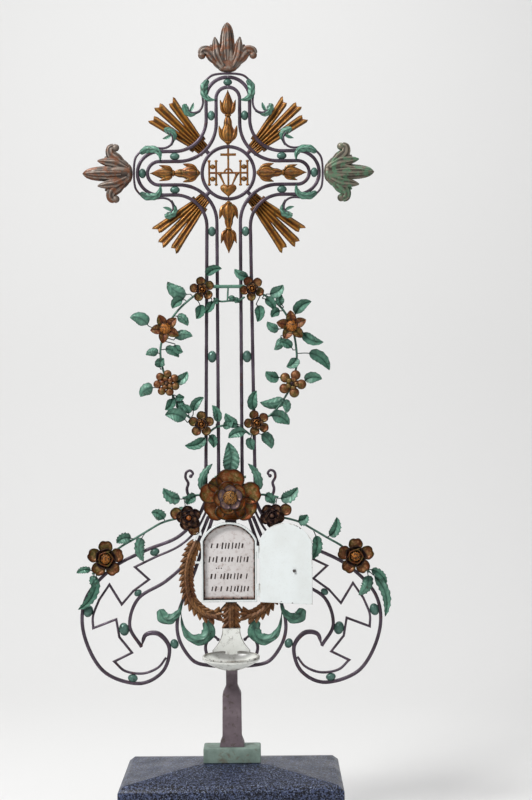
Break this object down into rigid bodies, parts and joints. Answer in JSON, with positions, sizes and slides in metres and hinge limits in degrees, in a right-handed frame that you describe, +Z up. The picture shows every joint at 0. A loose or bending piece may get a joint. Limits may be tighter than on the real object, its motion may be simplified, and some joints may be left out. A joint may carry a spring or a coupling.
{
  "type": "wrought iron grave cross",
  "caption": "Tall wrought iron grave cross with a leaf and flower wreath, scrolled base, holy water bowl and a hinged inscription case, set on a granite plinth.",
  "frame": {"origin": "middle of the plinth's underside", "axes": "+Z up, the front with the case looks along -Y, +X to the viewer's right"},
  "size_m": [0.738, 0.3, 1.8787],
  "materials": {
    "granite": "polished dark speckled granite",
    "foot_iron": "weathered grey-green paint on iron",
    "post_iron": "rough grey-brown painted iron",
    "bar_iron": "dark violet-brown painted wrought iron, worn",
    "verdigris": "weathered blue-green paint on iron",
    "rusty_gilding": "old gilding over rust",
    "flower_bronze": "dark bronze and rust with worn gilding",
    "finial_bronze": "weathered grey-brown with green traces",
    "laurel_rust": "rust brown paint",
    "white_enamel": "white enamel, stained at the edges",
    "plate_enamel": "off-white enamel with rust stains"
  },
  "bodies": {
    "cross": {"granite_plinth": "granite", "foot_socket": "foot_iron", "post": "post_iron", "outer_bar_left": "bar_iron", "outer_bar_right": "bar_iron", "inner_bar_left": "bar_iron", "inner_bar_right": "bar_iron", "base_scroll_left": "bar_iron", "base_scroll_right": "bar_iron", "zigzag_bar_left": "bar_iron", "zigzag_bar_right": "bar_iron", "lower_scroll_left": "bar_iron", "lower_scroll_right": "bar_iron", "medallion_ring": "bar_iron", "top_spacer_ball": "verdigris", "arm_bow_top": "verdigris", "arm_bow_left": "verdigris", "arm_bow_right": "verdigris", "wreath_stem_left": "verdigris", "wreath_stem_right": "verdigris", "wreath_rail_top": "verdigris", "wreath_twig_bottom": "verdigris", "leaf_branch_left": "verdigris", "leaf_branch_right": "verdigris", "rose_spray_left": "verdigris", "rose_spray_right": "verdigris", "rose_leaf_broad": "verdigris", "ring_trellis": "rusty_gilding", "bud_spray_top": "rusty_gilding", "bud_spray_left": "rusty_gilding", "bud_spray_right": "rusty_gilding", "bud_spray_bottom": "rusty_gilding", "rays_upper_left": "rusty_gilding", "rays_upper_right": "rusty_gilding", "rays_lower_left": "rusty_gilding", "rays_lower_right": "rusty_gilding", "wreath_flower_1": "flower_bronze", "wreath_flower_2": "flower_bronze", "wreath_flower_3": "flower_bronze", "wreath_flower_4": "flower_bronze", "wreath_flower_5": "flower_bronze", "wreath_flower_6": "flower_bronze", "wreath_flower_7": "flower_bronze", "wreath_flower_8": "flower_bronze", "rose_middle": "flower_bronze", "rose_left": "flower_bronze", "rose_right": "flower_bronze", "base_flower_left": "flower_bronze", "base_flower_right": "flower_bronze", "finial_top": "finial_bronze", "finial_left": "finial_bronze", "finial_right": "finial_bronze", "laurel_garland": "laurel_rust", "holy_water_bowl": "white_enamel", "inscription_case": "white_enamel", "inscription_plate": "plate_enamel"},
    "cover": {"case_cover": "white_enamel"}
  },
  "joints": [
    {"name": "cover_hinge", "type": "hinge", "parent": "cross", "child": "cover", "pos_m": [0.0624, -0.02715, 0.548], "axis": [0, 0, 1], "range_deg": [-160, 4]}
  ]
}
